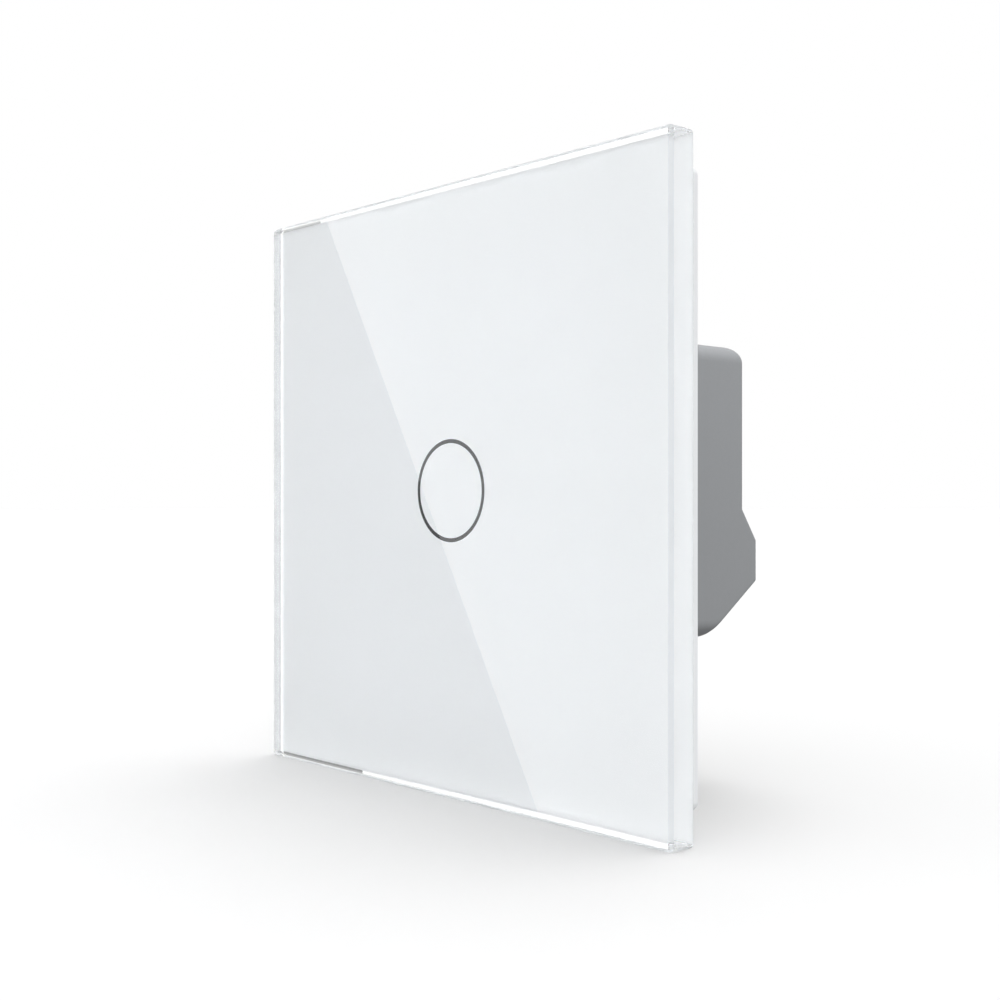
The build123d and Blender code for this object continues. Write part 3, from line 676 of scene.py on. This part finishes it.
class TOUCHSWITCH_OT_housing(bpy.types.Operator):
    """Finish the grey housing and the terminal block in its hump"""
    bl_idname = "touch_switch.housing"
    bl_label = "Rear Housing"

    def execute(self, context):
        sizes = settings()[0]
        dress("rear_housing", "moulded_grey")
        softened("terminal_block", "terminal_block_moulding", "moulded_black", sizes.small_edge)
        return {"FINISHED"}


class TOUCHSWITCH_OT_terminals(bpy.types.Operator):
    """Finish the terminals' bars, clamps and screws"""
    bl_idname = "touch_switch.terminals"
    bl_label = "Terminals"

    def execute(self, context):
        edge = settings()[0].small_edge
        for wire in ("line", "load"):
            softened(f"{wire}_bar", f"{wire}_bar_strip", "tinned_copper", edge)
            softened(f"{wire}_clamp", f"{wire}_clamp_cage", "zinc_plated_steel", edge)
            softened(f"{wire}_screw", f"{wire}_screw_turned", "brass", edge)
        return {"FINISHED"}


class TOUCHSWITCH_OT_relay(bpy.types.Operator):
    """Build the relay's wound coil and finish its other parts"""
    bl_idname = "touch_switch.relay"
    bl_label = "Relay"

    def execute(self, context):
        sizes = settings()[0]
        softened("relay_case", "relay_case_moulding", "relay_blue", sizes.small_edge)
        softened("relay_base", "relay_base_moulding", "moulded_black", sizes.small_edge)
        dress("relay_spool", "spool_cream")
        coil("wound_relay_coil", "relay_coil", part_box("relay_coil"))
        for node in ("relay_core", "relay_yoke", "relay_armature"):
            dress(node, "soft_iron")
        dress("contact_blade", "spring_bronze")
        dress("fixed_contact", "contact_silver")
        dress("moving_contact", "contact_silver")
        dress("relay_pins", "tinned_copper")
        return {"FINISHED"}


class TOUCHSWITCH_OT_power_parts(bpy.types.Operator):
    """Finish the capacitors, the choke and the other parts on the power board"""
    bl_idname = "touch_switch.power_parts"
    bl_label = "Power Parts"

    def execute(self, context):
        sizes = settings()[0]
        low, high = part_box("supply_capacitor")
        radius = (high.x - low.x) / 2
        groove, crimp = radius * SLEEVE_GROOVE, low.y + radius / 2
        profile = [
            (0, low.y), (radius - groove, low.y), (radius, low.y + groove),
            (radius, crimp - groove), (radius - groove, crimp), (radius, crimp + groove),
            (radius, high.y - groove), (radius - groove, high.y), (radius * SLEEVE_RIM, high.y),
            (radius * CAN_END, high.y - groove), (0, high.y - groove),
        ]
        can = piece(
            "sleeved_capacitor", turned(profile, node_centre("supply_capacitor")),
            "supply_capacitor", "sleeve_black", ("supply_capacitor",))
        shade_smooth(can, CAN_SHARP_ANGLE)
        softened("film_capacitor", "film_capacitor_case", "film_yellow", sizes.small_edge)
        softened("fuse", "fuse_case", "moulded_black", sizes.small_edge)
        dress("varistor", "epoxy_blue")
        dress("choke_core", "ferrite_grey")
        coil("wound_choke", "choke_winding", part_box("choke_winding"))
        for node in ("bridge_rectifier", "switch_transistor", "voltage_regulator"):
            softened(node, f"{node}_moulding", "moulded_black", sizes.small_edge)
        return {"FINISHED"}


# The stage: places, sizes and heights in metres, angles in degrees, pixels from the top left

# The camera's focal length and sensor are in millimetres, its shift in widths of the image
CAMERA_PLACE = Vector((139.5, -122.5, -1.44)) * MM
CAMERA_TURN = 48.1
CAMERA_LENS = 49.6
CAMERA_SHIFT = 0.0016
CAMERA_NEAR = 0.005
IMAGE_SIDE = 1000
SENSOR = 36.0
# How often light may turn on its way, and how often through glass
LIGHT_BOUNCES, GLASS_BOUNCES = 16, 14
RAY_KINDS = ("camera", "diffuse", "glossy", "transmission", "shadow", "volume_scatter")
# How far the floor reaches from its middle, and its squares along each side
FLOOR_REACH, FLOOR_SQUARES = 6.0, 8
# The room's light, and the floor's below it. Between these two heights of a direction one fades
# into the other.
ROOM_LIGHT, FLOOR_LIGHT = 0.84, 0.25
FLOOR_HEIGHTS = (-0.8, -0.25)
PANEL_FACE = ("bevelled_glass", "white_back_print", "touch_ring_line")
# Each studio light's azimuth and elevation, its strength, how wide it is, and what it leaves out
STUDIO_LIGHTS = {
    "overhead_light": (190, 76, 1.25, 48, PANEL_FACE),
    "front_light": (8, 1, 1.84, 24, ("floor",)),
    "side_light": (85, 20, 0.52, 24, (*PANEL_FACE, "rear_housing", "floor")),
}
# The lamp beside the housing: its place, its side, its power in watts, and what it leaves out
SIDE_LAMP = ((0.14, 0.05, 0.17), 0.08, 0.385, (*PANEL_FACE, "moulded_panel_frame", "floor"))
# The glare card, whose slanted edge the glass's front mirrors: two pixels on that edge, and the
# card's depth, its width, how far it reaches up and down, and its glow
GLARE_TOP, GLARE_FOOT = (330, 230), (512, 740)
GLARE_DEPTH, GLARE_WIDTH, GLARE_REACH = -0.7, 1.0, 1.2
GLARE_GLOW = 2.2
# The side card, which the glass's edge mirrors, and the backdrop card, which shows through its
# clear rim: their lowest and highest corners, and their glows
SIDE_CARD, SIDE_GLOW = ((0.42, 0.6, -0.26), (0.7, 0.6, 0.26)), 2.4
BACKDROP_CARD, BACKDROP_GLOW = ((-1.8, 0.9, -1.2), (0.4, 0.9, 1.2)), 1.1
# Cards just before the backdrop, which make the left ends of the clear rim's lines darker: the
# pixels across and the heights between which each one lies, and its glow
SHADE_DEPTH = 0.88
SHADES = {
    "lower_shade": (285, 364, -0.5, -0.324, 0.24),
    "mirrored_shade": (288, 364, 0.244, 0.263, 0.6),
    "upper_shade": (285, 322, 0.347, 0.5, 0.5),
}


def view_ray(pixel):
    """The direction in which the camera sees a pixel."""
    turn = radians(CAMERA_TURN)
    right = Vector((cos(turn), sin(turn), 0))
    ahead = Vector((-sin(turn), cos(turn), 0))
    focal = CAMERA_LENS / SENSOR * IMAGE_SIDE
    across = pixel[0] - IMAGE_SIDE / 2
    up = IMAGE_SIDE / 2 + CAMERA_SHIFT * IMAGE_SIDE - pixel[1]
    return ahead + right * across / focal + Vector((0, 0, up / focal))


def straight_place(pixel, depth):
    """The place that the camera sees at a pixel and a depth."""
    ray = view_ray(pixel)
    return CAMERA_PLACE + ray * ((depth - CAMERA_PLACE.y) / ray.y)


def mirrored_place(pixel, depth):
    """The place at a depth in front of the glass that the glass's front mirrors at a pixel."""
    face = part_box("glass_panel")[0].y
    ray = view_ray(pixel)
    on_glass = CAMERA_PLACE + ray * ((face - CAMERA_PLACE.y) / ray.y)
    away = Vector((ray.x, -ray.y, ray.z))
    return on_glass + away * ((depth - face) / away.y)


def upright(low, high):
    """The corners of an upright card that faces the front, from its lowest and highest corners."""
    return [low, (high[0], high[1], low[2]), high, (low[0], low[1], high[2])]


def direction(azimuth, elevation):
    """A direction in the room, with azimuth 0 in front and 90 at the right."""
    turn, rise = radians(azimuth), radians(elevation)
    return Vector((sin(turn) * cos(rise), -cos(turn) * cos(rise), sin(rise)))


def show_only_to(made, kinds):
    """Shows a stage piece to some kinds of rays alone."""
    for kind in RAY_KINDS:
        setattr(made, f"visible_{kind}", kind in kinds)


def card(name, corners, strength, seen_by):
    """A glowing card that shows only in one kind of ray."""
    mesh = bmesh.new()
    mesh.faces.new([mesh.verts.new(corner) for corner in corners])
    made = placed(name, mesh, glow(f"{name}_glow", strength))
    show_only_to(made, (seen_by,))


def hang(light, place, left_out):
    """Hangs a light at a place, turned to the object, with some pieces left out of its light."""
    holder = bpy.data.objects.new(light.name, light)
    holder.location = place
    holder.rotation_euler = place.to_track_quat("Z", "Y").to_euler()
    scene = bpy.context.scene
    scene.collection.objects.link(holder)
    lit = bpy.data.collections.new(f"{light.name}_lit")
    for made in scene.collection.all_objects:
        if made.type == "MESH" and made.name not in left_out:
            lit.objects.link(made)
    holder.light_linking.receiver_collection = lit


def lay_floor():
    """The floor under the glass. Only the camera sees it."""
    floor_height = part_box("glass_panel")[0].z
    mesh = bmesh.new()
    bmesh.ops.create_grid(
        mesh, x_segments=FLOOR_SQUARES, y_segments=FLOOR_SQUARES, size=FLOOR_REACH)
    bmesh.ops.translate(mesh, vec=(0, 0, floor_height), verts=mesh.verts)
    floor = placed("floor", mesh, finish("pale_floor"))
    show_only_to(floor, ("camera", "volume_scatter"))


def light_room():
    """The room's even light, darker from below, with plain white for the camera."""
    world = bpy.data.worlds.new("studio")
    world.use_nodes = True
    tree = world.node_tree
    room = tree.nodes["Background"]
    backdrop = tree.nodes.new("ShaderNodeBackground")
    for light in (room, backdrop):
        light.inputs["Color"].default_value = (1, 1, 1, 1)
    towards = tree.nodes.new("ShaderNodeTexCoord")
    split = tree.nodes.new("ShaderNodeSeparateXYZ")
    tree.links.new(towards.outputs["Generated"], split.inputs["Vector"])
    level = mapped(tree, split.outputs["Z"], FLOOR_HEIGHTS, (FLOOR_LIGHT, ROOM_LIGHT))
    tree.links.new(level, room.inputs["Strength"])
    path = tree.nodes.new("ShaderNodeLightPath")
    choice = tree.nodes.new("ShaderNodeMixShader")
    tree.links.new(path.outputs["Is Camera Ray"], choice.inputs["Fac"])
    tree.links.new(room.outputs["Background"], choice.inputs[1])
    tree.links.new(backdrop.outputs["Background"], choice.inputs[2])
    tree.links.new(choice.outputs["Shader"], tree.nodes["World Output"].inputs["Surface"])
    bpy.context.scene.world = world


def hang_lights():
    """The studio lights and the lamp beside the housing."""
    for name, (azimuth, elevation, strength, width, left_out) in STUDIO_LIGHTS.items():
        light = bpy.data.lights.new(name, "SUN")
        light.energy = strength
        light.angle = radians(width)
        hang(light, direction(azimuth, elevation), left_out)
    place, side, power, left_out = SIDE_LAMP
    light = bpy.data.lights.new("side_lamp", "AREA")
    light.energy = power
    light.size = side
    hang(light, Vector(place), left_out)


def set_up_cards():
    """The cards that only the glass's reflections or its clear rim show."""
    top, foot = mirrored_place(GLARE_TOP, GLARE_DEPTH), mirrored_place(GLARE_FOOT, GLARE_DEPTH)
    slope = (top - foot) / (top.z - foot.z)
    upper = foot + slope * (GLARE_REACH - foot.z)
    lower = foot + slope * (-GLARE_REACH - foot.z)
    width = Vector((GLARE_WIDTH, 0, 0))
    card("glare_card", [lower, lower + width, upper + width, upper], GLARE_GLOW, "glossy")
    card("side_card", upright(*SIDE_CARD), SIDE_GLOW, "glossy")
    card("backdrop_card", upright(*BACKDROP_CARD), BACKDROP_GLOW, "transmission")
    for name, (start, end, bottom, top, strength) in SHADES.items():
        left, right = (straight_place((column, 0), SHADE_DEPTH).x for column in (start, end))
        corners = upright((left, SHADE_DEPTH, bottom), (right, SHADE_DEPTH, top))
        card(name, corners, strength, "transmission")


def aim_camera():
    """The camera where the photo was taken from."""
    camera = bpy.data.cameras.new("camera")
    camera.sensor_width = SENSOR
    camera.lens = CAMERA_LENS
    camera.shift_y = CAMERA_SHIFT
    camera.clip_start = CAMERA_NEAR
    holder = bpy.data.objects.new("camera", camera)
    holder.location = CAMERA_PLACE
    holder.rotation_euler = (radians(90), 0, radians(CAMERA_TURN))
    scene = bpy.context.scene
    scene.collection.objects.link(holder)
    scene.camera = holder


class TOUCHSWITCH_OT_stage(bpy.types.Operator):
    """Set up the floor, the lights, the cards and the camera"""
    bl_idname = "touch_switch.stage"
    bl_label = "Stage"

    def execute(self, context):
        lay_floor()
        light_room()
        hang_lights()
        set_up_cards()
        aim_camera()
        context.scene.view_settings.view_transform = "Standard"
        context.scene.cycles.max_bounces = LIGHT_BOUNCES
        context.scene.cycles.transmission_bounces = GLASS_BOUNCES
        return {"FINISHED"}


PIECE_OPERATORS = (
    TOUCHSWITCH_OT_glass,
    TOUCHSWITCH_OT_print,
    TOUCHSWITCH_OT_panel_frame,
    TOUCHSWITCH_OT_wall_plate,
    TOUCHSWITCH_OT_cover,
    TOUCHSWITCH_OT_touch_key,
    TOUCHSWITCH_OT_boards,
    TOUCHSWITCH_OT_housing,
    TOUCHSWITCH_OT_terminals,
    TOUCHSWITCH_OT_relay,
    TOUCHSWITCH_OT_power_parts,
    TOUCHSWITCH_OT_stage,
)


class TOUCHSWITCH_PT_sidebar(bpy.types.Panel):
    """Lists the steps that build the switch"""
    bl_idname = "TOUCHSWITCH_PT_sidebar"
    bl_label = "Touch Light Switch"
    bl_space_type = "VIEW_3D"
    bl_region_type = "UI"
    bl_category = "Touch Switch"

    def draw(self, context):
        column = self.layout.column()
        for group in (context.scene.touch_switch_sizes, context.scene.touch_switch_colours):
            for name in group.bl_rna.properties.keys():
                if name not in ("name", "rna_type"):
                    column.prop(group, name)
        for step in PIECE_OPERATORS:
            column.operator(step.bl_idname)


CLASSES = (TouchSwitchSizes, TouchSwitchColours, *PIECE_OPERATORS, TOUCHSWITCH_PT_sidebar)


def register():
    for entry in CLASSES:
        bpy.utils.register_class(entry)
    bpy.types.Scene.touch_switch_sizes = bpy.props.PointerProperty(type=TouchSwitchSizes)
    bpy.types.Scene.touch_switch_colours = bpy.props.PointerProperty(type=TouchSwitchColours)


def unregister():
    del bpy.types.Scene.touch_switch_colours
    del bpy.types.Scene.touch_switch_sizes
    for entry in reversed(CLASSES):
        bpy.utils.unregister_class(entry)


def main():
    register()
    steps = bpy.ops.touch_switch
    steps.glass()
    steps.print()
    steps.panel_frame()
    steps.wall_plate()
    steps.cover()
    steps.touch_key()
    steps.boards()
    steps.housing()
    steps.terminals()
    steps.relay()
    steps.power_parts()
    steps.stage()


if __name__ == "__main__":
    main()
